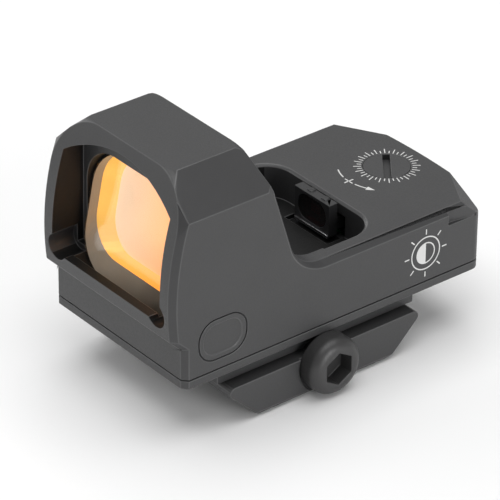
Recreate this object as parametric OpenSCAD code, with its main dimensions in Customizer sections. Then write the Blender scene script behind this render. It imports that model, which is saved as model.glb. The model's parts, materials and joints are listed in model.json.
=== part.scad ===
// Micro reflex red dot finder on a rail clamp.
// Millimetres. +X is the sight's left side, -Y looks at the target, +Z is up.
// The modules are drawn in the sight's own frame: Y = 0 at the front of the lower body and
// Z = 0 at the seam between housing and base plate. in_frame() then puts the origin at the
// centre of the rail seat, on the clamp screw's line.

/* [Housing] */
// Width of the housing
body_w = 27; // [26.6:0.1:27.6]
// Length of the lower body, front face to the crown of the rear arc
body_l = 49.3; // [49:0.1:49.6]
// Height of the rear deck above the seam
deck_h = 9.2; // [9.2:0.1:9.5]
// Height of the hood above the seam
hood_h = 27; // [26.8:0.1:27.6]
// Width of the chamfer along each side of the deck
deck_chamfer_w = 0.75; // [0.5:0.05:0.9]
// Drop of the chamfer along each side of the deck
deck_chamfer_h = 0.9; // [0.6:0.05:1]
// Half-width of the flat top of the hood
hood_flat_x = 8.7; // [8:0.1:9.5]
// Height where the hood's corner facets end on its sides
hood_facet_z = 22.3; // [21.5:0.1:23]
// Radius of the hood's curved front
hood_front_r = 38; // [34:1:45]
// Radius of the blend from the hood's rear face to the deck
deck_fillet_r = 5.8; // [4.5:0.1:6.2]

/* [Lens] */
// Width of the lens
lens_w = 20; // [19.6:0.1:20.2]
// Height of the lens
lens_h = 17.1; // [16.6:0.1:17.3]
// Corner radius of the lens
lens_r = 5.5; // [5:0.1:6.5]
// Thickness of each of the two lens elements
lens_t = 2; // [1.6:0.1:2.2]
// Lean of the lens towards the rear, in degrees
lens_tilt = 11.3; // [10:0.1:12]

/* [Emitter] */
// Half-width of the emitter well
well_x = 10.8; // [10.4:0.1:11]
// Rear edge of the emitter well
well_rear = 33; // [32.8:0.1:33.2]
// Floor of the emitter well above the seam
well_floor = 4.4; // [4.3:0.1:4.6]
// Width of the emitter head
head_w = 7; // [6:0.1:7.4]

/* [Adjusters] */
// Distance of the elevation screw from the front
elev_y = 43.7; // [43.5:0.1:43.9]
// Distance of the windage screw from the front
wind_y = 36.25; // [36.2:0.05:36.3]
// Height of the windage screw above the seam
wind_z = 4.4; // [4.3:0.05:4.5]
// Radius of both adjuster heads
adj_head_r = 3.1; // [2.8:0.05:3.15]

/* [Brightness button] */
// Distance of the button from the front
button_y = 6; // [5.8:0.1:6.2]
// Height of the button above the seam
button_z = 4.35; // [4.3:0.05:4.4]
// Length of the groove around the button
button_l = 7.7; // [7.4:0.1:8]
// Height of the groove around the button
button_h = 6; // [5.7:0.1:6.1]

/* [Battery] */
// Diameter of the coin cell
cell_d = 16; // [15.8:0.1:16.2]
// Thickness of the coin cell
cell_t = 3.2; // [3:0.1:3.2]

/* [Mount] */
// Height of the rail seat under the seam
seat_drop = 4.7; // [4.6:0.05:4.8]
// Widest width of the rail that the clamp takes
rail_w = 21.2; // [21.2]
// Width of the flat top of that rail
rail_top_w = 15.67; // [15.67]
// Distance of the clamp screw from the front
clamp_y = 22.2; // [22:0.1:22.4]
// Length of the clamp at its top
clamp_top_l = 32.6; // [31:0.1:33]
// Half-width of the clamp over its outer faces
clamp_x = 14; // [13.9:0.1:14.2]
// Diameter of the clamp screw's thread
clamp_d = 4.9; // [4.8:0.05:4.9]
// Diameter of the clamp screw's low head
clamp_head_d = 8; // [7.8:0.1:8.2]

/* [Hidden] */

$fn = 48;
e = 0.01;
half_w = body_w / 2;
// lower body
plan_corner_r = 1.5;
plan_arc_r = 100;
front_chamfer_x = 0.85;
front_chamfer_y = 0.7;
// hood
hood_arc_z = 10.5;
hood_arc_y = hood_front_r - 2;
lip_z = 6.05;
step_z = 4.35;
rear_top_y = 12.42;
rear_lean = 0.3165;
bevel_front = 0.85;
bevel_rear = 0.9;
bevel_x = 0.8;
bevel_r = 6.8;
hood_edge_share = 0.3;
// window
arch_x = 11.15;
arch_bottom = 7.95;
sill_back = -0.45;
arch_top = 25.5;
arch_r = 19.3;
relief_x = 10.2;
relief_z = 8.9;
relief_r = 1.75;
// lens: centre of its front face
lens_y = 2.86;
lens_z = 13.7;
lens_gap = 0.3;
ledge = 0.8;
// sloping facets on the rear corners: direction from above and distance from the origin
scoop = [[36.7, 36.37], [60, 45.65]];
scoop_slope = 41.8;
scoop_z = 6.85;
scoop_reach = 8;
// notch in each side below those facets, seen from above
notch = [[12.85, 43], [13.1, 42.75], [14.5, 42.6], [14.5, 48], [13.5, 47.4]];
// emitter well: its narrow end under the lens, corners, deeper pit and rim chamfer
well_neck_x = 8.3;
well_neck_y = 15;
well_r = 4;
pit_y = 30.2;
pit_z = 3.7;
rim_w = 0.35;
rim_h = 0.3;
// space inside the housing
chamber_x = 10.4;
chamber_y = [34, 46.4];
chamber_top = 7.4;
board_pocket = [20.4, 34];
board_pocket_top = 3.4;
board_post = [8.2, 24];
cell_y = 11.2;
cell_z = 0.3;
cell_gap = 0.3;
cell_roof = 3.95;
// seam and plate
gasket_t = 0.18;
gasket_inset = 0.2;
plate_t = 1.17;
plate_z = -gasket_t - plate_t;
// screws that hold the base plate, and their posts
base_screw_at = [[-7.5, 2.6], [7.5, 2.6], [-8.7, 42.6], [8.7, 42.6]];
base_screw_r = 1;
base_head_r = 1.9;
post_r = 2.2;
// adjusters
adj_shank_r = 1.25;
adj_bore_r = 1.3;
adj_head_t = 1.2;
adj_gap = 0.06;
oring_t = 0.4;
clip_t = 0.35;
boss_z = 6.6;
// clamp
seat_z = -seat_drop;
neck_x = 12.1;
neck_bottom = -3.5;
neck_l = 32;
jaw_top = -3.6;
jaw_edge = -8.7;
jaw_bottom = -9.45;
jaw_chamfer_x = 0.7;
screw_z = seat_z - 0.5;
jaw_bore_r = 2.65;
counterbore_r = 4.3;
counterbore_t = 0.4;
clamp_head_t = 3.1;
clamp_head_round = 1.5;
clamp_screw_l = 26.6;
clamp_boss_r = 3.6;
tongue_dy = 9;
tongue_w = 5;
tongue_x = 2.6;
mount_screw_at = [for (x = [-6.5, 6.5], y = [clamp_y - 13.5, clamp_y + 13.5]) [x, y]];

// Origin at the centre of the rail seat
module in_frame() translate([0, -clamp_y, seat_drop]) children();

// Points of a round stretch in the plane
function arc(c, r, a0, a1, n) = [for (i = [0 : n]) let (a = a0 + (a1 - a0) * i / n)
    [c[0] + r * cos(a), c[1] + r * sin(a)]];
function rrect(w, h, r, n = 8) = [for (q = [0 : 3]) let (sx = (q == 0 || q == 3) ? 1 : -1,
    sy = q < 2 ? 1 : -1) each arc([sx * (w / 2 - r), sy * (h / 2 - r)], r, 90 * q, 90 * q + 90, n)];

// Outline of the lower body from above, set in by d
function plan(d = 0) = let (
    cr = plan_corner_r, big = plan_arc_r, cx = half_w - cr, by = body_l - big,
    cy = by + sqrt(pow(big - cr, 2) - cx * cx), a = atan2(cy - by, cx)) concat(
    [[-half_w + front_chamfer_x, d], [half_w - front_chamfer_x, d],
     [half_w - d, front_chamfer_y + d * 0.4]],
    arc([cx, cy], cr - d, 0, a, 8),
    arc([0, by], big - d, a + 1, 179 - a, 14),
    arc([-cx, cy], cr - d, 180 - a, 180, 8),
    [[-half_w + d, front_chamfer_y + d * 0.4]]);

// Side view of the hood as points [y, z], moved back by d and cut short by r behind
function hood_side(d, r) = concat(
    [[d, step_z], [lip_front(lip_z) + d, lip_z]],
    [for (i = [1 : 23]) let (z = lip_z + (hood_h - lip_z) * i / 24) [lip_front(z) + d, z]],
    [[lip_front(hood_h) + d, hood_h], [rear_y(hood_h) - r, hood_h], [rear_y(step_z) - r, step_z]]);
function lip_front(z) = hood_arc_y - sqrt(pow(hood_front_r, 2) - pow(z - hood_arc_z, 2));
function rear_y(z) = rear_top_y + rear_lean * (hood_h - z);

// Front view of the hood as points [x, z]: round corners, or facets
function hood_round(w, r) = concat([[w, step_z]], arc([w - r, hood_h - r], r, 0, 90, 14),
    arc([r - w, hood_h - r], r, 90, 180, 14), [[-w, step_z]]);
function hood_facets() = [[half_w, step_z], [half_w, hood_facet_z], [hood_flat_x, hood_h],
    [-hood_flat_x, hood_h], [-half_w, hood_facet_z], [-half_w, step_z]];

// Side profile [y, z] drawn across the width, and front profile [x, z] drawn along the length
module across(points, w) rotate([90, 0, 90]) linear_extrude(w, center = true) polygon(points);
module along(points, y0, y1) translate([0, y1, 0]) rotate([90, 0, 0])
    linear_extrude(y1 - y0) polygon(points);
module shape_yz(points, x0, x1) translate([x0, 0, 0]) rotate([90, 0, 90])
    linear_extrude(x1 - x0) polygon(points);
module rod_x(r, x0, x1) translate([x0, 0, 0]) rotate([0, 90, 0]) cylinder(r = r, h = x1 - x0);
module rod_z(r, z0, z1) translate([0, 0, z0]) cylinder(r = r, h = z1 - z0);
module box(x, y, z) translate([x[0], y[0], z[0]])
    cube([x[1] - x[0], y[1] - y[0], z[1] - z[0]]);
module ring_z(r0, r1, z0, z1) difference() {
    rod_z(r1, z0, z1);
    rod_z(r0, z0 - 1, z1 + 1);
}
module torus(r, t) rotate_extrude() translate([r, 0]) circle(t, $fn = 24);

module hood() {
    intersection() {
        hull() {
            intersection() {
                across(hood_side(0, 0), body_w + 2);
                along(hood_round(half_w - bevel_x, bevel_r), -6, 8);
            }
            intersection() {
                across(hood_side(bevel_front, 0), body_w + 2);
                along(hood_round(half_w, bevel_r), 6, 30);
            }
            intersection() {
                across(hood_side(bevel_front, bevel_rear), body_w + 2);
                along(hood_facets(), -6, 30);
            }
        }
        along(hood_facets(), -6, 30);
    }
}

// Blend from the hood's rear face to the deck
module deck_fillet() {
    a = atan(rear_lean);
    run = deck_fillet_r * tan(45 - a / 2);
    foot = rear_y(deck_h);
    c = [foot + run, deck_h + deck_fillet_r];
    across(concat([[foot - 3, deck_h - 1], [c[0], deck_h - 1]],
        arc(c, deck_fillet_r, 270, 180 + a, 12), [[c[0] - deck_fillet_r - 3, c[1]]]), body_w);
}

// Chamfer along the hood's rear edge, the blend and the deck, swept as one triangular cutter.
// Each ring is [y, z, direction out of the surface in degrees, share of the full size].
function edge_path() = let (a = atan(rear_lean), foot = rear_y(deck_h),
    c = [foot + deck_fillet_r * tan(45 - a / 2), deck_h + deck_fillet_r], n = 12) concat(
    [[rear_y(hood_h + 2), hood_h + 2, a, hood_edge_share]],
    [for (i = [0 : n]) let (g = 180 + a + (90 - a) * i / n)
        [c[0] + deck_fillet_r * cos(g), c[1] + deck_fillet_r * sin(g), g - 180,
         hood_edge_share + (1 - hood_edge_share) * i / n]],
    [[60, deck_h, 90, 1]]);
module edge_cutter() {
    path = edge_path();
    k = len(path);
    polyhedron([for (q = path) let (w = deck_chamfer_w * q[3], h = deck_chamfer_h * q[3],
        u = [cos(q[2]), sin(q[2])], p = [q[0], q[1]]) each [
            [half_w - 2 * w, p[0] + h * u[0], p[1] + h * u[1]],
            [half_w + w, p[0] - 2 * h * u[0], p[1] - 2 * h * u[1]],
            [half_w + 2, p[0] + 2 * u[0], p[1] + 2 * u[1]]]],
        concat([[0, 1, 2]], [for (i = [0 : k - 2], j = [0 : 2]) let (m = (j + 1) % 3)
            each [[3 * i + j, 3 * i + 3 + j, 3 * i + 3 + m], [3 * i + j, 3 * i + 3 + m, 3 * i + m]]],
            [[3 * k - 1, 3 * k - 2, 3 * k - 3]]));
}

module scoops() {
    rise = 1;
    for (side = [0, 1]) mirror([side, 0, 0]) {
        for (c = scoop) rotate([0, 0, c[0]]) translate([c[1], 0, 0]) rotate([90, 0, 0])
            linear_extrude(5 * scoop_reach, center = true) polygon([
                [-rise / tan(scoop_slope), deck_h + rise],
                [(deck_h - scoop_z) / tan(scoop_slope), scoop_z],
                [scoop_reach, scoop_z], [scoop_reach, deck_h + rise]]);
        translate([0, 0, scoop_z]) linear_extrude(deck_h) polygon(notch);
    }
}

module in_lens() translate([0, lens_y, lens_z]) rotate([-lens_tilt, 0, 0]) rotate([90, 0, 0])
    mirror([0, 0, 1]) children();
module lens_plate(grow, z0, z1) in_lens() translate([0, 0, z0]) linear_extrude(z1 - z0)
    polygon(rrect(lens_w + 2 * grow, lens_h + 2 * grow, lens_r + grow, 10));

// Arched outline of the window
function arch(w, z0, top, r) = let (a = asin((w - 0.3) / r)) concat([[w, z0]],
    arc([0, top - r], r, 90 - a, 90 + a, 16), [[-w, z0]]);

module window_cuts() {
    // front opening with a relief in each lower corner
    along(arch(arch_x, arch_bottom, arch_top, arch_r), -8, 3);
    for (s = [-1, 1]) translate([s * relief_x, 2, relief_z]) rotate([90, 0, 0])
        cylinder(r = relief_r, h = 10);
    // pocket around the lens, behind the lip
    intersection() {
        lens_plate(lens_gap, -6, 2 * lens_t);
        box([-20, 20], [sill_back, 30], [0, 40]);
    }
    // clear way behind the lens
    intersection() {
        along([for (p = rrect(lens_w - 2 * ledge, lens_h - 2 * ledge - 0.6, lens_r - ledge, 10))
            [p[0], p[1] + lens_z + 0.4]], 3, 30);
        box([-20, 20], [3, 23], [well_floor, 40]);
    }
}

// Outline of the wide part of the well, grown by d
function well_outline(d = 0) = let (x = well_x + d, y = well_rear + d, r = well_r + d) concat(
    arc([x - r, y - r], r, 0, 90, 10), arc([r - x, y - r], r, 90, 180, 10),
    [[-x, well_neck_y], [x, well_neck_y]]);

module well_cut() {
    intersection() {
        union() {
            translate([0, 0, well_floor]) linear_extrude(20) polygon(well_outline());
            box([-well_neck_x, well_neck_x], [8, well_neck_y + e], [well_floor, 24]);
            // deeper floor under the emitter head
            box([-head_w / 2 - 0.8, head_w / 2 + 0.8], [pit_y, well_rear], [pit_z, 10]);
        }
        // the floor falls from the lens to the emitter
        across([[7, lens_z - lens_h / 2 + 1.6], [16, well_floor], [pit_y - 0.2, well_floor],
            [pit_y, pit_z - 0.1], [40, pit_z - 0.1], [40, 12], [rear_y(12), 20], [7, 20]],
            2 * well_x + 10);
    }
    // chamfer round the rim on the deck
    intersection() {
        hull() {
            translate([0, 0, deck_h - rim_h]) linear_extrude(e) polygon(well_outline());
            translate([0, 0, deck_h]) linear_extrude(e) polygon(well_outline(rim_w));
        }
        box([-20, 20], [24, 40], [0, 20]);
    }
}

module inner_cuts() {
    // battery pocket
    translate([0, cell_y, 0]) rod_z(cell_d / 2 + cell_gap, -1, cell_roof);
    // circuit board pocket, with the posts that carry the board
    difference() {
        box([-chamber_x, chamber_x], board_pocket, [-1, board_pocket_top]);
        for (s = [-1, 1]) translate([s * board_post[0], board_post[1], 0]) rod_z(1.6, 1.91, 4);
    }
    for (s = [-1, 1]) translate([s * board_post[0], board_post[1], 0]) rod_z(0.78, 0, 3.8);
    // chamber of the adjusters, with screw posts left in its rear corners
    difference() {
        box([-chamber_x, chamber_x], [board_pocket[1] - e, chamber_y[1]], [-1, chamber_top]);
        for (p = [2, 3]) translate([base_screw_at[p][0], base_screw_at[p][1], 0])
            rod_z(post_r, -2, chamber_top + 1);
        for (s = [-1, 1]) box([s > 0 ? base_screw_at[3][0] : -chamber_x - 1,
            s > 0 ? chamber_x + 1 : base_screw_at[2][0]],
            [elev_y - 3.3, elev_y + 1.1], [-2, chamber_top + 1]);
        translate([0, elev_y, 0]) rod_z(4.2, boss_z, chamber_top + 1);
    }
    // way for the emitter's arm
    box([-4.4, 4.4], [well_rear - e, board_pocket[1] + e], [3.7, chamber_top]);
    // channel of the switch ribbon
    box([9, 10.1], [8.4, board_pocket[0] + e], [-1, 2]);
}

module button_cuts() {
    translate([0, button_y, button_z]) {
        shape_yz(rrect(button_l, button_h, 2.7), 12, 15);
        shape_yz(rrect(button_l + 0.8, button_h + 0.8, 3), 9.5, 12.1);
    }
}

module adjuster_bores() {
    translate([0, elev_y, 0]) {
        rod_z(adj_head_r + adj_gap, deck_h - adj_head_t - oring_t, deck_h + 1);
        rod_z(adj_bore_r, boss_z - 1, deck_h);
    }
    translate([0, wind_y, wind_z]) {
        rod_x(adj_head_r + adj_gap, -half_w - 1, -half_w + adj_head_t + oring_t);
        rod_x(adj_bore_r, -half_w, -chamber_x + 1);
    }
}

module housing() color([0.20, 0.20, 0.21]) in_frame() difference() {
    union() {
        difference() {
            linear_extrude(deck_h) polygon(plan());
            scoops();
        }
        hood();
        deck_fillet();
    }
    for (s = [0, 1]) mirror([s, 0, 0]) edge_cutter();
    window_cuts();
    well_cut();
    inner_cuts();
    button_cuts();
    adjuster_bores();
    for (p = base_screw_at) translate([p[0], p[1], 0]) rod_z(base_screw_r, -1, 4.6);
    // bores of the guide pins
    for (s = [-1, 1]) translate([s * 4.6, elev_y - 0.1, 0]) rod_z(0.75, chamber_top - 1, 8.4);
}

module front_lens() color([0.95, 0.70, 0.30, 0.6]) in_frame() lens_plate(0, 0, lens_t);
module rear_lens() color([0.75, 0.85, 0.95, 0.4]) in_frame() lens_plate(0, lens_t, 2 * lens_t);
module lens_seal() color([0.05, 0.05, 0.05]) in_frame() difference() {
    lens_plate(lens_gap - 0.02, 0.5, 1.6);
    lens_plate(0.02, 0, 3);
}

module base_gasket() color([0.03, 0.03, 0.03]) in_frame() translate([0, 0, -gasket_t]) difference() {
    linear_extrude(gasket_t) polygon(plan(gasket_inset));
    translate([0, cell_y, 0]) rod_z(cell_d / 2 + cell_gap, -1, 1);
    box([-chamber_x, chamber_x], [board_pocket[0], 40.2], [-1, 1]);
    box([-6.4, 6.4], [40, chamber_y[1]], [-1, 1]);
    for (p = base_screw_at) translate([p[0], p[1], 0]) rod_z(base_screw_r + 0.15, -1, 1);
}

module base_plate() color([0.22, 0.22, 0.23]) in_frame() difference() {
    translate([0, 0, plate_z]) linear_extrude(plate_t) polygon(plan());
    for (p = base_screw_at) translate([p[0], p[1], 0]) {
        rod_z(base_screw_r + 0.1, plate_z - 1, 0);
        translate([0, 0, plate_z - e]) cylinder(r1 = base_head_r + 0.1, r2 = base_screw_r + 0.1, h = 0.95);
    }
    for (p = mount_screw_at) translate([p[0], p[1], 0]) {
        rod_z(base_screw_r + 0.1, plate_z - 1, 0);
        translate([0, 0, -gasket_t - 0.95 + e])
            cylinder(r2 = base_head_r + 0.1, r1 = base_screw_r + 0.1, h = 0.95);
    }
}

// Flat-head screw with a cross slot, its head's face at z = 0 and its shank down
module flat_screw(l) difference() {
    union() {
        translate([0, 0, -0.9]) cylinder(r1 = base_screw_r - 0.02, r2 = base_head_r, h = 0.9);
        rod_z(base_screw_r - 0.02, -l, -0.8);
    }
    for (a = [0, 90]) rotate([0, 0, a]) box([-1.1, 1.1], [-0.2, 0.2], [-0.5, 1]);
}

module base_screws() color([0.15, 0.15, 0.15]) in_frame() for (p = base_screw_at)
    translate([p[0], p[1], plate_z]) rotate([180, 0, 0]) flat_screw(5.4);
module mount_screws() color([0.15, 0.15, 0.15]) in_frame() for (p = mount_screw_at)
    translate([p[0], p[1], -gasket_t]) flat_screw(3.6);

// Side view of both clamp halves, a trapezium with its ends at 45 degrees
function clamp_side(z0) = let (h = clamp_top_l / 2, d = jaw_top - z0, r = 0.8) concat(
    [[clamp_y - h + d, z0], [clamp_y + h - d, z0]],
    arc([clamp_y + h - r * 2.1, jaw_top - r], r, -45, 90, 6),
    arc([clamp_y - h + r * 2.1, jaw_top - r], r, 90, 225, 6));
// Cross-section of the jaw, on the side of +X
function jaw_section() = let (g = 0.08, t = rail_top_w / 2 + g, w = rail_w / 2 + g, d = w - t) [
    [t + 0.7, jaw_top], [t + 0.7, seat_z - 0.7], [w, seat_z - d], [w, seat_z - d - 1],
    [w - (seat_z - d - 1 - jaw_bottom), jaw_bottom], [clamp_x - jaw_chamfer_x, jaw_bottom],
    [clamp_x, jaw_edge], [clamp_x, jaw_top]];

module jaw_body() intersection() {
    across(clamp_side(jaw_bottom), 60);
    translate([0, 60, 0]) rotate([90, 0, 0]) linear_extrude(80) polygon(jaw_section());
}

module mount_base() color([0.19, 0.19, 0.20]) in_frame() difference() {
    union() {
        // neck under the base plate
        box([-neck_x, neck_x], [clamp_y - neck_l / 2, clamp_y + neck_l / 2], [neck_bottom, plate_z]);
        // seat block
        box([-neck_x, 8.4], [clamp_y - neck_l / 2, clamp_y + neck_l / 2], [seat_z, neck_bottom + e]);
        mirror([1, 0, 0]) jaw_body();
        // boss around the threaded hole of the fixed jaw
        translate([0, clamp_y, screw_z]) rod_x(clamp_boss_r, -clamp_x, 2 - neck_x);
    }
    // half-open channel of the clamp screw under the seat, and its threaded hole
    translate([0, clamp_y, screw_z]) {
        rod_x(clamp_d / 2 + 0.25, -8.5, 20);
        rod_x(clamp_d / 2 + 0.05, -20, -8);
    }
    box([-8, 20], [clamp_y - clamp_d / 2 - 0.25, clamp_y + clamp_d / 2 + 0.25], [seat_z - 1, screw_z]);
    // slots of the jaw's tongues
    for (s = [-1, 1]) translate([0, clamp_y + s * tongue_dy, 0])
        box([tongue_x - 0.3, 8.4 + e], [-tongue_w / 2 - 0.12, tongue_w / 2 + 0.12],
            [seat_z - 1, neck_bottom]);
    for (p = mount_screw_at) translate([p[0], p[1], 0]) rod_z(base_screw_r, -4.1, 0);
}

module clamp_jaw() color([0.21, 0.21, 0.22]) in_frame() difference() {
    union() {
        jaw_body();
        for (s = [-1, 1]) translate([0, clamp_y + s * tongue_dy, 0])
            box([tongue_x, 10], [-tongue_w / 2, tongue_w / 2], [seat_z + 0.05, jaw_top]);
    }
    translate([0, clamp_y, screw_z]) {
        rod_x(jaw_bore_r, 0, 20);
        rod_x(counterbore_r, clamp_x - counterbore_t, 20);
    }
}

// Socket-head cap screw, its head's seat at x = clamp_x - counterbore_t
module clamp_screw() color([0.24, 0.24, 0.25]) in_frame() translate([0, clamp_y, screw_z]) {
    x0 = clamp_x - counterbore_t;
    r = clamp_head_d / 2;
    difference() {
        union() {
            translate([x0, 0, 0]) rotate([0, 90, 0]) rotate_extrude() polygon(concat(
                [[0, 0], [r, 0]], arc([r - clamp_head_round, clamp_head_t - clamp_head_round],
                    clamp_head_round, 0, 90, 8), [[0, clamp_head_t]]));
            rod_x(clamp_d / 2, x0 - clamp_screw_l + 0.6, x0 + e);
            translate([x0 - clamp_screw_l, 0, 0]) rotate([0, 90, 0])
                cylinder(r1 = clamp_d / 2 - 0.6, r2 = clamp_d / 2, h = 0.6 + e);
        }
        // hexagon socket, 4 mm across its flats
        translate([x0 + 0.9, 0, 0]) rotate([0, 90, 0]) cylinder(r = 2.31, h = 4, $fn = 6);
    }
}

module battery() color([0.80, 0.80, 0.82]) in_frame() translate([0, cell_y, cell_z]) rotate_extrude()
    polygon([[0, 0], [cell_d / 2 - 0.3, 0], [cell_d / 2, 0.3], [cell_d / 2, cell_t - 0.5],
        [cell_d / 2 - 0.5, cell_t - 0.25], [cell_d / 2 - 1.3, cell_t - 0.25],
        [cell_d / 2 - 1.6, cell_t], [0, cell_t]]);
module battery_contact() color([0.85, 0.70, 0.35]) in_frame() translate([0, cell_y, 0]) union() {
    rod_z(1.5, cell_z + cell_t + 0.02, 3.7);
    box([-1, 1], [0, 7], [3.6, 3.75]);
    box([-4.5, 4.5], [-1, 1], [3.75 - e, 3.9]);
}
module battery_pad() color([0.15, 0.15, 0.16]) in_frame() translate([0, cell_y, 0])
    rod_z(5, -gasket_t + e, cell_z - e);
module cell_clip() color([0.85, 0.70, 0.35]) in_frame() translate([0, cell_y, 0]) intersection() {
    ring_z(cell_d / 2 + 0.04, cell_d / 2 + 0.22, 0.6, 2.4);
    box([-3, 3], [5, 12], [0, 4]);
}

module circuit_board() color([0.06, 0.28, 0.14]) in_frame() difference() {
    box([-9.9, 9.9], [20.8, 40], [1.1, 1.9]);
    for (s = [-1, 1]) translate([s * board_post[0], board_post[1], 0]) rod_z(0.85, 0, 3);
}
module board_screws() color([0.7, 0.7, 0.72]) in_frame() for (s = [-1, 1])
    translate([s * board_post[0], board_post[1], 0]) union() {
        rod_z(1.35, 0.5, 1.09);
        rod_z(0.75, 0.9, 3.6);
    }
module controller_chip() color([0.08, 0.08, 0.09]) in_frame() union() {
    box([-2, 2], [24, 28], [1.91, 2.8]);
    for (i = [0 : 4], s = [-1, 1]) box([s > 0 ? 1.9 : -2.5, s > 0 ? 2.5 : -1.9],
        [24.3 + i * 0.75, 24.65 + i * 0.75], [1.91, 2.15]);
}
module chip_parts() color([0.55, 0.42, 0.28]) in_frame() for (p = [[-6, 27], [-6, 30], [5, 23],
    [5, 26], [5, 29]]) box([p[0], p[0] + 1.6], [p[1], p[1] + 0.8], [1.91, 2.5]);

module switch_board() color([0.06, 0.28, 0.14]) in_frame()
    box([9.6, 10.2], [button_y - 3, button_y + 3], [button_z - 2.6, button_z + 2.6]);
module switch_dome() color([0.75, 0.75, 0.77]) in_frame() translate([0, button_y, button_z])
    rotate([0, 90, 0]) translate([0, 0, 10.21]) rotate_extrude()
        polygon([[0, 0], [1.9, 0], [1.9, 0.2], [1.2, 0.5], [0, 0.6]]);
module switch_ribbon() color([0.75, 0.45, 0.12]) in_frame()
    box([9.4, 9.55], [button_y + 3, 21.6], [0.5, 1.05]);
module button_cap() color([0.23, 0.23, 0.24]) in_frame() translate([0, button_y, button_z]) union() {
    difference() {
        shape_yz(rrect(button_l - 0.4, button_h - 0.4, 2.5), 11.9, half_w);
        shape_yz(rrect(button_l - 1.7, button_h - 1.7, 1.9), half_w - 0.15, half_w + 1);
    }
    shape_yz(rrect(button_l + 0.4, button_h + 0.4, 2.8), 11.45, 11.95);
    rod_x(1, 11.3, 11.5);
}
module button_seal() color([0.05, 0.05, 0.05]) in_frame() translate([0, button_y, button_z]) difference() {
    shape_yz(rrect(button_l + 0.7, button_h + 0.7, 2.95), 10.4, 10.95);
    shape_yz(rrect(button_l - 1.6, button_h - 1.6, 2), 10, 12);
}

// Adjuster screw along +Z: the head's face is at z = 0
module adjuster(l) difference() {
    union() {
        rod_z(adj_head_r, -adj_head_t, 0);
        rod_z(adj_shank_r, -l, -adj_head_t + e);
    }
    box([-adj_head_r - 1, adj_head_r + 1], [-0.5, 0.5], [-0.8, 1]);
}
module oring() translate([0, 0, -adj_head_t - oring_t / 2 - 0.01])
    torus(adj_shank_r + 0.25 + oring_t / 2, oring_t / 2 - 0.01);
module clip() difference() {
    rod_z(2.1, 0, clip_t);
    rod_z(adj_shank_r + 0.02, -1, 1);
    box([-0.9, 0.9], [0, 3], [-1, 1]);
}

module elevation_screw() color([0.19, 0.19, 0.20]) in_frame() translate([0, elev_y, deck_h])
    rotate([0, 0, -38]) adjuster(6.9);
module elevation_oring() color([0.05, 0.05, 0.05]) in_frame() translate([0, elev_y, deck_h]) oring();
module elevation_clip() color([0.6, 0.6, 0.62]) in_frame()
    translate([0, elev_y, boss_z - 0.05 - clip_t]) clip();
module elevation_slider() color([0.72, 0.62, 0.35]) in_frame() difference() {
    union() {
        box([-6, 6], [39.4, 46], [3, 5.4]);
        box([-4.8, 4.8], [37.4, 39.4 + e], [3.7, 4.7]);
    }
    translate([0, elev_y, 0]) rod_z(adj_bore_r, 0, 9);
    for (s = [-1, 1]) translate([s * 4.6, elev_y - 0.1, 0]) rod_z(0.8, 0, 9);
}
module guide_pins() color([0.7, 0.7, 0.72]) in_frame() for (s = [-1, 1])
    translate([s * 4.6, elev_y - 0.1, 0]) rod_z(0.73, 2, 8.3);

// Helical spring along +Z between z0 and z1
function coil(r, t, z0, z1, turns, n = 20, m = 6) = [for (i = [0 : turns * n]) let (
    a = 360 * i / n, z = z0 + (z1 - z0) * i / (turns * n)) [for (j = [0 : m - 1]) let (
    b = 360 * j / m, q = r + t * cos(b)) [q * cos(a), q * sin(a), z + t * sin(b)]]];
module spring(r, t, z0, z1, turns) {
    rings = coil(r, t, z0, z1, turns);
    m = 6;
    k = len(rings);
    polyhedron([for (g = rings) each g], concat([[for (j = [0 : m - 1]) j]],
        [for (i = [0 : k - 2], j = [0 : m - 1]) let (a = i * m + j, b = i * m + (j + 1) % m)
            [a, a + m, b + m, b]],
        [[for (j = [m - 1 : -1 : 0]) (k - 1) * m + j]]));
}
module elevation_spring() color([0.75, 0.75, 0.77]) in_frame() translate([0, elev_y, 0])
    spring(2.2, 0.17, 0.03, 2.8, 3);

module windage_screw() color([0.19, 0.19, 0.20]) in_frame() translate([-half_w, wind_y, wind_z])
    rotate([0, -90, 0]) rotate([0, 0, 25]) adjuster(5.4);
module windage_oring() color([0.05, 0.05, 0.05]) in_frame() translate([-half_w, wind_y, wind_z])
    rotate([0, -90, 0]) oring();
module windage_clip() color([0.6, 0.6, 0.62]) in_frame()
    translate([-chamber_x + 0.05, wind_y, wind_z]) rotate([0, 90, 0]) clip();
module windage_nut() color([0.72, 0.62, 0.35]) in_frame() difference() {
    box([-9.3, -5.6], [34.1, 38], [2.4, 6.4]);
    translate([0, wind_y, wind_z]) rod_x(adj_bore_r, -12, -7.4);
    // upright slot for the carrier's key
    box([-7.45, -6.4], [35.05, 37.45], [0, 9]);
    box([-6.5, -5], [35.65, 36.85], [0, 9]);
}
module windage_spring() color([0.75, 0.75, 0.77]) in_frame() translate([0, wind_y, wind_z])
    rotate([0, 90, 0]) spring(0.95, 0.14, 4.2, 8.2, 5);
module spring_seat() color([0.7, 0.7, 0.72]) in_frame() translate([0, wind_y, wind_z])
    union() {
        rod_x(1.9, 8.4, chamber_x - 0.02);
        rod_x(0.7, 7.4, 8.5);
    }

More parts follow.
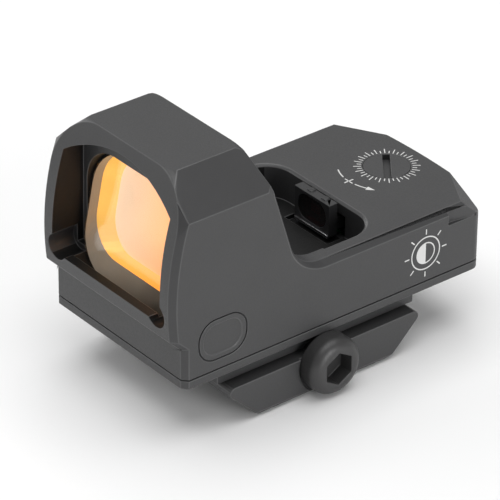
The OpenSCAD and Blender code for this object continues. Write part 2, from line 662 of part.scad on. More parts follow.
module emitter_head() color([0.10, 0.10, 0.11]) in_frame() difference() {
    union() {
        // head in the well
        box([-head_w / 2, head_w / 2], [31.1, 32.5], [4.55, 9.25]);
        // hooks on its top edge
        for (s = [-1, 1]) translate([s * 1.4 + 0.3, 0, 0]) box([-0.45, 0.45], [31.5, 32.4], [9.2, 9.4]);
        // arm and carriage
        box([-3, 3], [32.4, 35.6], [4.9, 6.7]);
        box([-4, 4], [35.4, 39], [2.9, 6.7]);
        // key to the windage nut
        box([-6.6, -3.9], [35.9, 36.6], [3.4, 5.4]);
        box([-7.2, -6.6 + e], [35.3, 37.2], [3.4, 5.4]);
    }
    // window recess
    translate([0, 0, 7]) along(rrect(head_w - 1.4, 3.6, 1.6, 8), 31, 31.6);
    // pocket of the diode
    translate([0, 0, 7]) along(rrect(2.4, 1.8, 0.2, 2), 31, 32.3);
    // groove on the slider's rail
    box([-9, 9], [37.1, 40], [3.4, 5]);
}
module emitter_window() color([0.25, 0.05, 0.05, 0.5]) in_frame() translate([0, 0, 7])
    along(rrect(head_w - 1.5, 3.5, 1.55, 8), 31.15, 31.55);
module emitter_trim() color([0.75, 0.75, 0.76]) in_frame() union() {
    box([-3.3, 3.3], [30.95, 31.09], [4.6, 4.85]);
    box([-3.3, 3.3], [30.95, 32.2], [4.4, 4.54]);
    box([-3.3, 3.3], [30.95, 31.09], [4.4, 4.7]);
}
module emitter_diode() color([0.85, 0.15, 0.10]) in_frame() union() {
    box([-0.9, 0.9], [31.8, 32.28], [6.4, 7.6]);
    box([-0.25, 0.25], [31.65, 31.81], [6.75, 7.25]);
}

housing();
front_lens();
rear_lens();
lens_seal();
base_gasket();
base_plate();
base_screws();
mount_base();
mount_screws();
clamp_jaw();
clamp_screw();
battery();
battery_pad();
battery_contact();
cell_clip();
circuit_board();
board_screws();
controller_chip();
chip_parts();
switch_board();
switch_dome();
switch_ribbon();
button_cap();
button_seal();
elevation_screw();
elevation_oring();
elevation_clip();
elevation_spring();
elevation_slider();
guide_pins();
windage_screw();
windage_oring();
windage_clip();
windage_nut();
windage_spring();
spring_seat();
emitter_head();
emitter_window();
emitter_trim();
emitter_diode();
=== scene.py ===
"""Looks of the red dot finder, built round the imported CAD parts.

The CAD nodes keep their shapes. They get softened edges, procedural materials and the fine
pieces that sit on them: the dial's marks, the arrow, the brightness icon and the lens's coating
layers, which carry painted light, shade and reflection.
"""
import json
import math

import bmesh
import bpy
from mathutils import Matrix, Vector


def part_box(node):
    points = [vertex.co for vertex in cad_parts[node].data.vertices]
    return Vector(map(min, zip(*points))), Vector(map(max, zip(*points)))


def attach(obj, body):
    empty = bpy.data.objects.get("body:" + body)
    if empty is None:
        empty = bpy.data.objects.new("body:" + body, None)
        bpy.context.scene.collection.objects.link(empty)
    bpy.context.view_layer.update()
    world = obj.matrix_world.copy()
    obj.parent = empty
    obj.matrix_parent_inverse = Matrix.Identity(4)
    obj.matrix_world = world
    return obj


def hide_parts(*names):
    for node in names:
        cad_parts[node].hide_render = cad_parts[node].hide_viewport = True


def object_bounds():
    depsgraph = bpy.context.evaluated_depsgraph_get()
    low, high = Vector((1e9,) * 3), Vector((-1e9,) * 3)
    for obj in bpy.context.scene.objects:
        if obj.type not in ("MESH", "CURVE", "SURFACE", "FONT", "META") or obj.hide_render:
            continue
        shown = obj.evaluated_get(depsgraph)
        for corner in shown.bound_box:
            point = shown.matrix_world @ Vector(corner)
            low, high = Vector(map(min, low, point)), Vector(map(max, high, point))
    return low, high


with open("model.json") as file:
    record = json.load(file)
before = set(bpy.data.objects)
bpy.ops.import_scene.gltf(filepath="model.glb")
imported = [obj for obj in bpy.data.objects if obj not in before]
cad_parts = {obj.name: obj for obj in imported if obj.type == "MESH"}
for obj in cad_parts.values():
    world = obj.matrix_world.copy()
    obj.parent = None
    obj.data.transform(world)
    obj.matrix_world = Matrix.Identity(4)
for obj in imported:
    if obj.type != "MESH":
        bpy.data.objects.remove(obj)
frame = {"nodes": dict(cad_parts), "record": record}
CAD_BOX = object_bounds()
NODES = frame["nodes"]
SLOTS = {s["node"]: s["material_slot"] for s in frame["record"]["subparts"]}
MM = 0.001


# ---------------------------------------------------------------- measures taken from the frame
def middle(node):
    low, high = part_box(node)
    return (low + high) / 2


HOUSING_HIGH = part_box("housing")[1]
DIAL = middle("elevation_screw")
DECK_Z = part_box("elevation_screw")[1].z
SIDE_X = HOUSING_HIGH.x
# lens: its own axes across, up and into the glass, from the two equal elements
LENS_LOW, LENS_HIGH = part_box("front_lens")
LENS_STEP = middle("rear_lens") - middle("front_lens")
LENS_T = LENS_STEP.length
LENS_IN = LENS_STEP.normalized()
LENS_ACROSS = Vector((1, 0, 0))
LENS_UP = Vector((0, -LENS_IN.z, LENS_IN.y))
LENS_FRONT = middle("front_lens") - LENS_IN * LENS_T / 2
LENS_W = LENS_HIGH.x - LENS_LOW.x
LENS_H = (LENS_HIGH.z - LENS_LOW.z + LENS_T * LENS_IN.z) / LENS_UP.z
LENS_R = 5.5 * MM


# ---------------------------------------------------------------- node tools
def new_material(name):
    mat = bpy.data.materials.new(name)
    mat.use_nodes = True
    tree = mat.node_tree
    return mat, tree, tree.nodes["Principled BSDF"]


def link(tree, source, target):
    tree.links.new(source, target)


def noise(tree, scale, detail=4.0, stretch=(1, 1, 1)):
    place = tree.nodes.new("ShaderNodeTexCoord")
    spread = tree.nodes.new("ShaderNodeMapping")
    spread.inputs["Scale"].default_value = stretch
    grain = tree.nodes.new("ShaderNodeTexNoise")
    grain.inputs["Scale"].default_value = scale
    grain.inputs["Detail"].default_value = detail
    link(tree, place.outputs["Object"], spread.inputs["Vector"])
    link(tree, spread.outputs["Vector"], grain.inputs["Vector"])
    return grain.outputs["Fac"]


def remap(tree, source, low, high, start=0.3, end=0.7):
    spread = tree.nodes.new("ShaderNodeMapRange")
    spread.inputs["From Min"].default_value = start
    spread.inputs["From Max"].default_value = end
    spread.inputs["To Min"].default_value = low
    spread.inputs["To Max"].default_value = high
    link(tree, source, spread.inputs["Value"])
    return spread.outputs["Result"]


def blend_colors(tree, factor, first, second):
    """Mix of two colours. The first one can also be another node's output."""
    mix = tree.nodes.new("ShaderNodeMix")
    mix.data_type = "RGBA"
    if isinstance(first, tuple):
        mix.inputs["A"].default_value = (*first, 1)
    else:
        link(tree, first, mix.inputs["A"])
    mix.inputs["B"].default_value = (*second, 1)
    link(tree, factor, mix.inputs["Factor"])
    return mix.outputs["Result"]


def bump(tree, shader, source, distance, strength=1.0):
    node = tree.nodes.new("ShaderNodeBump")
    node.inputs["Distance"].default_value = distance
    node.inputs["Strength"].default_value = strength
    link(tree, source, node.inputs["Height"])
    link(tree, node.outputs["Normal"], shader.inputs["Normal"])


def split_axes(tree, source):
    split = tree.nodes.new("ShaderNodeSeparateXYZ")
    link(tree, source, split.inputs["Vector"])
    return split.outputs


def own_place(tree):
    return split_axes(tree, tree.nodes.new("ShaderNodeTexCoord").outputs["Object"])


def along(tree, axis, start, end):
    """0 to 1 between two places on one of the object's axes."""
    return remap(tree, own_place(tree)[axis], 0, 1, start, end)


def combine(tree, operation, first, second):
    """One math operation on two outputs, or on an output and one or two numbers."""
    node = tree.nodes.new("ShaderNodeMath")
    node.operation = operation
    link(tree, first, node.inputs[0])
    if isinstance(second, tuple):
        for socket, value in zip(node.inputs[1:], second):
            socket.default_value = value
    else:
        link(tree, second, node.inputs[1])
    return node.outputs["Value"]


def inside(tree, low, high):
    """1 in a box of the object's own space, 0 outside it."""
    place = own_place(tree)
    shape = None
    for axis, start, end in zip("XYZ", low, high):
        near = combine(tree, "COMPARE", place[axis], ((start + end) / 2, (end - start) / 2))
        shape = near if shape is None else combine(tree, "MULTIPLY", shape, near)
    return shape


# ---------------------------------------------------------------- materials
GLOSS = 0.62
# painted shade: tone and gloss of the faces inside the tunnel and the well
PAINTED_SHADE_GLOSS = 0.2
PAINTED_SHADE_TONE = (0.010, 0.010, 0.010)
# limits of the painted shade inside: the window's tunnel, its arched crown and the emitter's well
INNER_W = 11.3 * MM
CROWN_W = 9.5 * MM
CROWN_LOW = HOUSING_HIGH.z - 2.8 * MM
CROWN_TOP = HOUSING_HIGH.z - 1.45 * MM
TUNNEL_Y = (LENS_LOW.y - 4.0 * MM, LENS_LOW.y + 9.6 * MM)
WELL_Y = (TUNNEL_Y[1], DIAL.y - 10.6 * MM)
WELL_Z = (DECK_Z - 6.0 * MM, DECK_Z - 0.35 * MM)
HOLLOWS = [(Vector((-half, y[0], z[0])), Vector((half, y[1], z[1]))) for half, y, z in (
    (INNER_W, TUNNEL_Y, (LENS_LOW.z, CROWN_LOW)),
    (CROWN_W, TUNNEL_Y, (CROWN_LOW, CROWN_TOP)),
    (INNER_W, WELL_Y, WELL_Z),
)]
# faces that look this much to the front are outside the tunnel
FRONT_FACE = -0.6
FINE_DRIFT = 160
BROAD_DRIFT = 120
BLAST_GRAIN = 5200
BLAST_DEPTH = 0.016 * MM
BLAST_STRENGTH = 0.6
GLASS_DRIFT = 300
COATING_DRIFT = 400
# share of gloss on thin glass seen straight on and at a slant, and where the slant starts
FACING_GLOSS = 0.04
SLANT_GLOSS = 0.5
SLANT_START = 0.35


def surface(name, dark, light, rough, grain, depth, metallic=0.0, coat=0.0, stretch=(1, 1, 1)):
    """A finish whose colour and roughness drift a little, over a fine grain."""
    mat, tree, shader = new_material(name)
    drift = noise(tree, FINE_DRIFT, 3)
    fine = noise(tree, grain, 5, stretch)
    link(tree, blend_colors(tree, drift, dark, light), shader.inputs["Base Color"])
    link(tree, remap(tree, fine, rough[0], rough[1]), shader.inputs["Roughness"])
    shader.inputs["Metallic"].default_value = metallic
    shader.inputs["Coat Weight"].default_value = coat
    bump(tree, shader, fine, depth)
    return mat


def painted_shade_mask(tree):
    """1 on the faces inside the tunnel and the well, where shade is painted."""
    mask = inside(tree, *HOLLOWS[0])
    for low, high in HOLLOWS[1:]:
        mask = combine(tree, "MAXIMUM", mask, inside(tree, low, high))
    normal = split_axes(tree, tree.nodes.new("ShaderNodeNewGeometry").outputs["True Normal"])
    return combine(tree, "MULTIPLY", mask,
                   combine(tree, "GREATER_THAN", normal["Y"], (FRONT_FACE,)))


def anodised(name, dark, light, rough, with_painted_shade=False):
    """Bead-blasted aluminium under black anodise; the tunnel and the well can get painted shade, a
    darker and less glossy tone.
    """
    mat, tree, shader = new_material(name)
    drift = noise(tree, BROAD_DRIFT, 3)
    blast = noise(tree, BLAST_GRAIN, 4)
    tone = blend_colors(tree, drift, dark, light)
    gloss = shader.inputs["Specular IOR Level"]
    if with_painted_shade:
        # painted shade: darker and less glossy inside the tunnel and the well
        mask = painted_shade_mask(tree)
        tone = blend_colors(tree, mask, tone, PAINTED_SHADE_TONE)
        link(tree, remap(tree, mask, GLOSS, PAINTED_SHADE_GLOSS, 0, 1), gloss)
    else:
        gloss.default_value = GLOSS
    link(tree, tone, shader.inputs["Base Color"])
    link(tree, remap(tree, blast, rough[0], rough[1]), shader.inputs["Roughness"])
    bump(tree, shader, blast, BLAST_DEPTH, BLAST_STRENGTH)
    return mat


def glass(name, tint, rough=0.02):
    """Thin coated glass: clear, with a gloss that grows at a slant."""
    mat, tree, shader = new_material(name)
    clear = tree.nodes.new("ShaderNodeBsdfTransparent")
    gloss = tree.nodes.new("ShaderNodeBsdfGlossy")
    mix = tree.nodes.new("ShaderNodeMixShader")
    slant = tree.nodes.new("ShaderNodeLayerWeight")
    clear.inputs["Color"].default_value = (*tint, 1)
    drift = noise(tree, GLASS_DRIFT, 2)
    link(tree, remap(tree, drift, rough, rough * 2.5), gloss.inputs["Roughness"])
    link(tree, remap(tree, slant.outputs["Facing"], FACING_GLOSS, SLANT_GLOSS, SLANT_START, 1.0),
         mix.inputs["Fac"])
    link(tree, clear.outputs["BSDF"], mix.inputs[1])
    link(tree, gloss.outputs["BSDF"], mix.inputs[2])
    link(tree, mix.outputs["Shader"], tree.nodes["Material Output"].inputs["Surface"])
    tree.nodes.remove(shader)
    return mat


# where the painted light and shade across the lens starts and ends to change, as parts of the
# lens's width
PAINTED_LIGHT_START = -0.42
PAINTED_LIGHT_END = 0.25


def coating(name, left, right, rough, metallic=0.35, painted_glow=0.0):
    """Lens layer whose colour runs from left to right across the lens as painted light and shade;
    its emission is painted reflected light.
    """
    mat, tree, shader = new_material(name)
    # painted light and shade: the colour runs from the left tone to the right one across the lens
    shift = along(tree, "X", LENS_W * PAINTED_LIGHT_START, LENS_W * PAINTED_LIGHT_END)
    tint = blend_colors(tree, shift, left, right)
    link(tree, tint, shader.inputs["Base Color"])
    # painted reflected light: the layer's colour is also sent out as emission
    link(tree, tint, shader.inputs["Emission Color"])
    drift = noise(tree, COATING_DRIFT, 3)
    link(tree, remap(tree, drift, rough, rough * 1.6), shader.inputs["Roughness"])
    shader.inputs["Emission Strength"].default_value = painted_glow
    shader.inputs["Metallic"].default_value = metallic
    return mat


FINISH = {
    "anodised_black": anodised(
        "anodised_black", (0.026, 0.026, 0.027), (0.036, 0.036, 0.037), (0.40, 0.54)),
    "lens_coated": coating("lens_coated", (0.9, 0.55, 0.25), (1.0, 0.5, 0.12), 0.1),
    "lens_clear": glass("lens_clear", (0.82, 0.92, 0.97)),
    "black_rubber": surface(
        "black_rubber", (0.010, 0.010, 0.010), (0.018, 0.018, 0.018), (0.7, 0.9), 3000, 0.02 * MM),
    "black_oxide_steel": surface(
        "black_oxide_steel", (0.040, 0.040, 0.041), (0.056, 0.055, 0.055), (0.34, 0.50), 4500,
        0.008 * MM, metallic=0.25),
    "bright_steel": surface(
        "bright_steel", (0.52, 0.52, 0.54), (0.66, 0.66, 0.67), (0.22, 0.38), 2200, 0.004 * MM,
        metallic=1.0, stretch=(1, 1, 12)),
    "cell_steel": surface(
        "cell_steel", (0.62, 0.62, 0.63), (0.74, 0.74, 0.75), (0.16, 0.30), 1500, 0.004 * MM,
        metallic=1.0, stretch=(9, 1, 1)),
    "contact_brass": surface(
        "contact_brass", (0.72, 0.50, 0.18), (0.84, 0.62, 0.28), (0.22, 0.36), 1800, 0.003 * MM,
        metallic=1.0, stretch=(7, 1, 1)),
    "slider_brass": surface(
        "slider_brass", (0.60, 0.45, 0.18), (0.74, 0.57, 0.28), (0.28, 0.44), 1700, 0.005 * MM,
        metallic=1.0, stretch=(1, 10, 1)),
    "board_green": surface(
        "board_green", (0.010, 0.090, 0.034), (0.018, 0.130, 0.050), (0.25, 0.38), 900, 0.010 * MM,
        coat=0.4),
    "chip_black": surface(
        "chip_black", (0.014, 0.014, 0.015), (0.024, 0.024, 0.025), (0.45, 0.62), 4200, 0.006 * MM),
    "ribbon_amber": surface(
        "ribbon_amber", (0.42, 0.17, 0.02), (0.56, 0.26, 0.04), (0.18, 0.30), 700, 0.004 * MM,
        coat=0.5, stretch=(1, 12, 1)),
    "emitter_black": surface(
        "emitter_black", (0.014, 0.014, 0.015), (0.024, 0.024, 0.025), (0.30, 0.48), 4000,
        0.008 * MM),
    "emitter_glass": glass("emitter_glass", (0.35, 0.10, 0.10)),
    "lens_front": glass("lens_front", (1.0, 0.97, 0.93)),
    "diode_red": surface(
        "diode_red", (0.50, 0.020, 0.015), (0.66, 0.040, 0.030), (0.12, 0.25), 900, 0.002 * MM,
        coat=0.6),
    "pad_foam": surface(
        "pad_foam", (0.030, 0.030, 0.032), (0.055, 0.055, 0.058), (0.8, 0.95), 2600, 0.06 * MM),
}
# the black anodised housing, with painted shade inside its tunnel and well
HOUSING_BLACK_WITH_PAINTED_SHADE = anodised(
    "housing_black_with_painted_shade", (0.026, 0.026, 0.027), (0.036, 0.036, 0.037), (0.40, 0.54), with_painted_shade=True)
# lighter bevel faces: partly edge wear, partly a painted highlight
WORN_EDGE_AND_PAINTED_HIGHLIGHT = anodised("worn_edge_and_painted_highlight", (0.045, 0.045, 0.046), (0.080, 0.080, 0.081), (0.34, 0.48))
PRINT = surface(
    "print_white", (0.60, 0.60, 0.59), (0.70, 0.70, 0.69), (0.45, 0.62), 5000, 0.004 * MM)
# painted light on the lens: the wall runs from lit at the left to shaded at the right and glows a
# little; the amber band and the face glow as a painted reflection, the face paler at the left where
# a softbox's reflection is painted
LENS_WALL_PAINTED_LIGHT_AND_SHADE = coating("lens_wall_painted_light_and_shade", (0.42, 0.41, 0.38), (0.050, 0.049, 0.046), 0.35, 0.0, 0.12)
AMBER_COATING_AND_PAINTED_REFLECTION = coating("lens_amber_coating_and_painted_reflection", (1.0, 0.62, 0.15), (1.0, 0.44, 0.07), 0.30, 0.3, 0.60)
LENS_FACE_PAINTED_REFLECTION = coating("lens_face_painted_reflection", (1.0, 0.80, 0.62), (1.0, 0.46, 0.10), 0.30, 0.3, 0.55)
COATING_BACK = coating("lens_back", (0.020, 0.035, 0.075), (0.030, 0.045, 0.085), 0.08, 0.2)


# ---------------------------------------------------------------- mesh tools
def make_piece(name, bm, materials, body, smooth=True):
    bmesh.ops.recalc_face_normals(bm, faces=bm.faces)
    mesh = bpy.data.meshes.new(name)
    bm.to_mesh(mesh)
    bm.free()
    for mat in materials:
        mesh.materials.append(mat)
    for face in mesh.polygons:
        face.use_smooth = smooth
    piece = bpy.data.objects.new(name, mesh)
    bpy.context.scene.collection.objects.link(piece)
    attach(piece, body)
    return piece


def solid_outline(bm, outline, place, thick):
    """Closed plate from a flat outline: place maps (u, v, height) to the row frame."""
    low = [bm.verts.new(place(u, v, 0)) for u, v in outline]
    high = [bm.verts.new(place(u, v, thick)) for u, v in outline]
    count = len(outline)
    bm.faces.new(low[::-1])
    bm.faces.new(high)
    for i in range(count):
        j = (i + 1) % count
        bm.faces.new((low[i], low[j], high[j], high[i]))


def solid_band(bm, inner, outer, place, thick, closed):
    """Closed band between two lines of equal length."""
    rings = [[bm.verts.new(place(u, v, h)) for u, v in line]
             for line, h in ((inner, 0), (outer, 0), (outer, thick), (inner, thick))]
    count = len(inner)
    for i in range(count if closed else count - 1):
        j = (i + 1) % count
        for k in range(4):
            m = (k + 1) % 4
            bm.faces.new((rings[k][i], rings[m][i], rings[m][j], rings[k][j]))
    if not closed:
        bm.faces.new([rings[k][0] for k in range(4)][::-1])
        bm.faces.new([rings[k][-1] for k in range(4)])


def ring_line(radius, start, end, count, centre=(0, 0)):
    """Points on a round stretch, angles in degrees."""
    steps = count if abs(end - start) >= 360 else count - 1
    return [(centre[0] + radius * math.cos(math.radians(start + (end - start) * i / steps)),
             centre[1] + radius * math.sin(math.radians(start + (end - start) * i / steps)))
            for i in range(count)]


def bar(centre, angle, start, end, width):
    """Rectangle that points away from centre, between two distances along an angle."""
    a = math.radians(angle)
    out, side = (math.cos(a), math.sin(a)), (-math.sin(a), math.cos(a))
    return [(centre[0] + out[0] * d + side[0] * s * width / 2,
             centre[1] + out[1] * d + side[1] * s * width / 2)
            for d, s in ((start, -1), (end, -1), (end, 1), (start, 1))]


def rounded(width, height, radius, count=10):
    """Rounded rectangle, counter-clockwise from the middle of its right side."""
    points = []
    for quarter in range(4):
        sx = 1 if quarter in (0, 3) else -1
        sy = 1 if quarter < 2 else -1
        corner = (sx * (width / 2 - radius), sy * (height / 2 - radius))
        points += ring_line(radius, 90 * quarter, 90 * quarter + 90, count, corner)
    return points


# ---------------------------------------------------------------- CAD nodes: edges and finish
EDGE_WIDTH = {
    "housing": 0.09, "base_plate": 0.10, "mount_base": 0.10, "clamp_jaw": 0.12,
    "clamp_screw": 0.12, "button_cap": 0.08, "elevation_screw": 0.05, "windage_screw": 0.05,
    "emitter_head": 0.07, "emitter_trim": 0.03, "circuit_board": 0.05, "battery": 0.05,
}
WELD_GAP = 0.001 * MM
FLAT_ANGLE = math.radians(0.4)
EDGE_ANGLE = math.radians(13)
NORMAL_WEIGHT = 100


def soften(node, width):
    """Rounds the sharper edges. The node's own vertices stay as they are."""
    weld = node.modifiers.new("weld", "WELD")
    weld.merge_threshold = WELD_GAP
    flat = node.modifiers.new("flatten", "DECIMATE")
    flat.decimate_type = "DISSOLVE"
    flat.angle_limit = FLAT_ANGLE
    bevel = node.modifiers.new("soften", "BEVEL")
    bevel.width = width * MM
    bevel.segments = 2
    bevel.limit_method = "ANGLE"
    bevel.angle_limit = EDGE_ANGLE
    bevel.use_clamp_overlap = False
    # the bevel faces take the last slot; on anodised parts that is the lighter edge, partly wear
    # and partly a painted highlight
    bevel.material = len(node.data.materials) - 1
    normals = node.modifiers.new("normals", "WEIGHTED_NORMAL")
    normals.keep_sharp = False
    normals.weight = NORMAL_WEIGHT


for node_name, node in NODES.items():
    node.data.materials.clear()
    finish = HOUSING_BLACK_WITH_PAINTED_SHADE if node_name == "housing" else FINISH[SLOTS[node_name]]
    node.data.materials.append(finish)
    if node_name in EDGE_WIDTH:
        for attribute in ("custom_normal", "sharp_edge"):
            if attribute in node.data.attributes:
                node.data.attributes.remove(node.data.attributes[attribute])
        for face in node.data.polygons:
            face.use_smooth = True
        if SLOTS[node_name] == "anodised_black":
            node.data.materials.append(WORN_EDGE_AND_PAINTED_HIGHLIGHT)
        soften(node, EDGE_WIDTH[node_name])


# ---------------------------------------------------------------- printed marks
PRINT_T = 0.02 * MM


def on_deck(u, v, height):
    return (DIAL.x + u, DIAL.y + v, DECK_Z + height)


TICKS = 40
TICK_IN = 3.35 * MM
TICK_SHORT = 3.95 * MM
TICK_LONG = 4.4 * MM
TICK_W = 0.13 * MM
marks = bmesh.new()
for i in range(TICKS):
    reach = TICK_LONG if i % 2 == 0 else TICK_SHORT
    solid_outline(marks, bar((0, 0), 360 * i / TICKS, TICK_IN, reach, TICK_W), on_deck, PRINT_T)
make_piece("dial_marks", marks, [PRINT], "sight", smooth=False)

# curved arrow in front of the dial, broken by a plus sign
ARROW_R = 6.45 * MM
ARROW_W = 0.17 * MM
PLUS_L = 1.5 * MM
HEAD_L = 1.15 * MM
HEAD_W = 0.85 * MM
ARROW_TAIL = (-119, -101)
ARROW_TIP = (-80, -64)
ARC_POINTS = 12
arrow = bmesh.new()
for start, end in (ARROW_TAIL, ARROW_TIP):
    solid_band(arrow, ring_line(ARROW_R - ARROW_W / 2, start, end, ARC_POINTS),
               ring_line(ARROW_R + ARROW_W / 2, start, end, ARC_POINTS),
               on_deck, PRINT_T, closed=False)
head_angle = math.radians(ARROW_TIP[1])
sideways = Vector((math.cos(head_angle), math.sin(head_angle)))
forward = Vector((-sideways.y, sideways.x))
head_at = sideways * ARROW_R
solid_outline(arrow, [head_at - sideways * HEAD_W / 2, head_at + sideways * HEAD_W / 2,
                      head_at + forward * HEAD_L], on_deck, PRINT_T)
for turn in (0, 90):
    solid_outline(arrow, bar((0, -ARROW_R), turn, -PLUS_L / 2, PLUS_L / 2, ARROW_W),
                  on_deck, PRINT_T)
make_piece("turn_arrow", arrow, [PRINT], "sight", smooth=False)

# brightness symbol on the left side: a ring with eight rays and a half-filled disc
ICON_FORWARD = 4.8 * MM
ICON_DROP = 5.0 * MM
ICON_Y = DIAL.y - ICON_FORWARD
ICON_Z = DECK_Z - ICON_DROP
RING_IN = 2.25 * MM
RING_OUT = 2.42 * MM
RAY_IN = 2.75 * MM
RAY_OUT = 3.5 * MM
HALF_R = 1.55 * MM
RAYS = 8
RING_POINTS = 40
HALF_POINTS = 20
icon = bmesh.new()


def on_side(u, v, height):
    return (SIDE_X + height, ICON_Y + u, ICON_Z + v)


solid_band(icon, ring_line(RING_IN, 0, 360, RING_POINTS),
           ring_line(RING_OUT, 0, 360, RING_POINTS), on_side, PRINT_T, closed=True)
for i in range(RAYS):
    solid_outline(icon, bar((0, 0), 360 / RAYS * i, RAY_IN, RAY_OUT, ARROW_W), on_side, PRINT_T)
solid_outline(icon, ring_line(HALF_R, 90, 270, HALF_POINTS), on_side, PRINT_T)
solid_band(icon, ring_line(HALF_R - ARROW_W, -90, 90, HALF_POINTS),
           ring_line(HALF_R, -90, 90, HALF_POINTS), on_side, PRINT_T, closed=False)
make_piece("brightness_icon", icon, [PRINT], "sight", smooth=False)


# ---------------------------------------------------------------- lip in the button's groove
BUTTON = middle("button_cap")
BUTTON_LOW, BUTTON_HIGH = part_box("button_cap")
# the cap's flange reaches past the groove by this much, both sides together
FLANGE = 0.42 * MM
GROOVE_L = BUTTON_HIGH.y - BUTTON_LOW.y - FLANGE
GROOVE_H = BUTTON_HIGH.z - BUTTON_LOW.z - FLANGE
LIP_W = 0.16 * MM
LIP_LOW = 0.45 * MM
LIP_T = 0.27 * MM
LIP_R_IN = 2.52 * MM
LIP_R_OUT = 2.68 * MM


def in_groove(u, v, height):
    return (SIDE_X - LIP_LOW + height, BUTTON.y + u, BUTTON.z + v)


lip = bmesh.new()
solid_band(lip, rounded(GROOVE_L - 2 * LIP_W, GROOVE_H - 2 * LIP_W, LIP_R_IN),
           rounded(GROOVE_L, GROOVE_H, LIP_R_OUT), in_groove, LIP_T, closed=True)
make_piece("button_lip", lip, [FINISH["pad_foam"]], "sight")


# ---------------------------------------------------------------- lens
def in_lens(u, v, depth):
    return LENS_FRONT + LENS_ACROSS * u + LENS_UP * v + LENS_IN * depth


def lens_rings(bm, rings):
    """Joins equal outlines, each (width, height, radius, shift up, depth), into one surface."""
    loops = []
    for width, height, radius, lift, depth in rings:
        outline = rounded(width, height, radius)
        loops.append([bm.verts.new(in_lens(u, v + lift, depth)) for u, v in outline])
    count = len(loops[0])
    for index, (first, second) in enumerate(zip(loops, loops[1:])):
        for i in range(count):
            j = (i + 1) % count
            bm.faces.new((first[i], first[j], second[j], second[i])).material_index = index
    return loops


# the tray's outlines: the wall's start, the amber band's start and the face; the wall carries
# painted light and shade, the amber band and the face a painted reflection
TRAY_W = LENS_W - 0.1 * MM
TRAY_H = LENS_H - 0.1 * MM
TRAY_RINGS = (
    (TRAY_W, TRAY_H, LENS_R, 0, 0.25 * MM),
    (LENS_W - 0.3 * MM, LENS_H - 2.7 * MM, LENS_R - 0.4 * MM, 1.15 * MM, 1.6 * MM),
    (LENS_W - 3.8 * MM, LENS_H - 3.9 * MM, LENS_R - 1.0 * MM, 1.35 * MM, 3.2 * MM),
)
FACE_SLOT = 2
BACK_SLOT = 3
BACK_DEPTH = 2 * LENS_T - 0.02 * MM
tray = bmesh.new()
loops = lens_rings(tray, TRAY_RINGS)
tray.faces.new(loops[-1]).material_index = FACE_SLOT
back = [tray.verts.new(in_lens(u, v, BACK_DEPTH)) for u, v in rounded(TRAY_W, TRAY_H, LENS_R)]
tray.faces.new(back).material_index = BACK_SLOT
for i in range(len(back)):
    j = (i + 1) % len(back)
    tray.faces.new((loops[0][i], loops[0][j], back[j], back[i])).material_index = BACK_SLOT
tray_piece = make_piece(
    "lens_coating_and_painted_reflection", tray, [LENS_WALL_PAINTED_LIGHT_AND_SHADE, AMBER_COATING_AND_PAINTED_REFLECTION, LENS_FACE_PAINTED_REFLECTION, COATING_BACK],
    "sight", smooth=False)
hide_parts("rear_lens")

RIM = 0.12 * MM
COVER_T = 0.22 * MM
cover = bmesh.new()
loops = lens_rings(cover, (
    (LENS_W - RIM * 2, LENS_H - RIM * 2, LENS_R - RIM, 0, 0),
    (LENS_W, LENS_H, LENS_R, 0, RIM),
    (LENS_W, LENS_H, LENS_R, 0, COVER_T),
))
cover.faces.new(loops[0][::-1])
cover.faces.new(loops[-1])
for face in cover.faces:
    face.material_index = 0
cover_piece = make_piece("lens_cover", cover, [FINISH["lens_front"]], "sight",
                         smooth=False)
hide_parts("front_lens")


# ---------------------------------------------------------------- floor, light and camera
FLOOR_SIZE = 3.0
FLOOR_DRIFT = 12
FLOOR_DARK = (0.90, 0.90, 0.90)
FLOOR_LIGHT = (0.92, 0.92, 0.92)
FLOOR_ROUGHNESS = 0.9
FLOOR_GLOSS = 0.1
LIGHT_DISTANCE = 0.8
WORLD_STRENGTH = 0.26


def pale_floor():
    mesh = bpy.data.meshes.new("floor")
    half = FLOOR_SIZE / 2
    mesh.from_pydata([(-half, -half, 0), (half, -half, 0), (half, half, 0), (-half, half, 0)],
                     [], [(0, 1, 2, 3)])
    floor = bpy.data.objects.new("floor", mesh)
    floor.location.z = CAD_BOX[0].z
    mat, tree, shader = new_material("floor")
    tone = blend_colors(tree, noise(tree, FLOOR_DRIFT, 2), FLOOR_DARK, FLOOR_LIGHT)
    link(tree, tone, shader.inputs["Base Color"])
    shader.inputs["Roughness"].default_value = FLOOR_ROUGHNESS
    shader.inputs["Specular IOR Level"].default_value = FLOOR_GLOSS
    mesh.materials.append(mat)
    bpy.context.scene.collection.objects.link(floor)


def outward(azimuth, elevation):
    """Direction out of the object, in radians; azimuth 0 is in front, 90 degrees on the left."""
    return Vector((math.sin(azimuth) * math.cos(elevation),
                   -math.cos(azimuth) * math.cos(elevation), math.sin(elevation)))


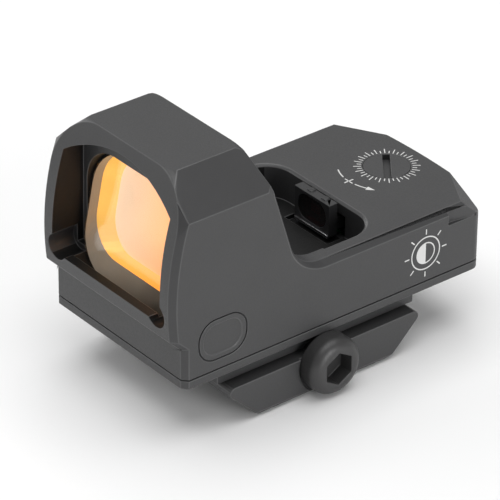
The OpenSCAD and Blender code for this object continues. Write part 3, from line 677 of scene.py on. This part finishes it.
def soft_light(name, azimuth, elevation, size, power):
    """Square softbox that looks at the object, from angles in degrees."""
    out = outward(math.radians(azimuth), math.radians(elevation))
    light = bpy.data.lights.new(name, "AREA")
    light.size = size
    light.energy = power
    lamp = bpy.data.objects.new(name, light)
    lamp.location = out * LIGHT_DISTANCE
    lamp.rotation_mode = "QUATERNION"
    lamp.rotation_quaternion = out.to_track_quat("Z", "Y")
    bpy.context.scene.collection.objects.link(lamp)


# azimuth, elevation and roll in degrees, distance in millimetres
CAMERA_ANGLES = (51.15, 31.06, 0.50)
CAMERA_TARGET = Vector((1.24, -2.2, 10.5)) * MM
CAMERA_DISTANCE = 493.0
CAMERA_LENS = 279.8
CAMERA_SENSOR = 36
CAMERA_NEAR = 0.01


def camera():
    """The view is a long lens from the front left, a little over 30 degrees up."""
    azimuth, elevation, roll = map(math.radians, CAMERA_ANGLES)
    out = outward(azimuth, elevation)
    right = Vector((math.cos(azimuth), math.sin(azimuth), 0))
    up = out.cross(right)
    turned_right = right * math.cos(roll) + up * math.sin(roll)
    turned_up = up * math.cos(roll) - right * math.sin(roll)
    data = bpy.data.cameras.new("camera")
    data.lens = CAMERA_LENS
    data.sensor_width = CAMERA_SENSOR
    data.clip_start = CAMERA_NEAR
    eye = bpy.data.objects.new("camera", data)
    place = Matrix((turned_right, turned_up, out)).transposed().to_4x4()
    place.translation = CAMERA_TARGET + out * CAMERA_DISTANCE * MM
    eye.matrix_world = place
    bpy.context.scene.collection.objects.link(eye)
    bpy.context.scene.camera = eye


pale_floor()
# azimuth and elevation in degrees, size in metres, power in watts
soft_light("overhead", 0, 89, 0.9, 6.0)
soft_light("back_right", 232, 34, 0.6, 0.5)
soft_light("left", 95, 12, 0.4, 3.0)
soft_light("right", 268, 10, 0.45, 1.6)
soft_light("front_right", 318, 24, 0.5, 1.1)
world = bpy.data.worlds.new("studio")
world.use_nodes = True
world.node_tree.nodes["Background"].inputs["Color"].default_value = (1, 1, 1, 1)
world.node_tree.nodes["Background"].inputs["Strength"].default_value = WORLD_STRENGTH
bpy.context.scene.world = world
bpy.context.scene.view_settings.view_transform = "Standard"
camera()
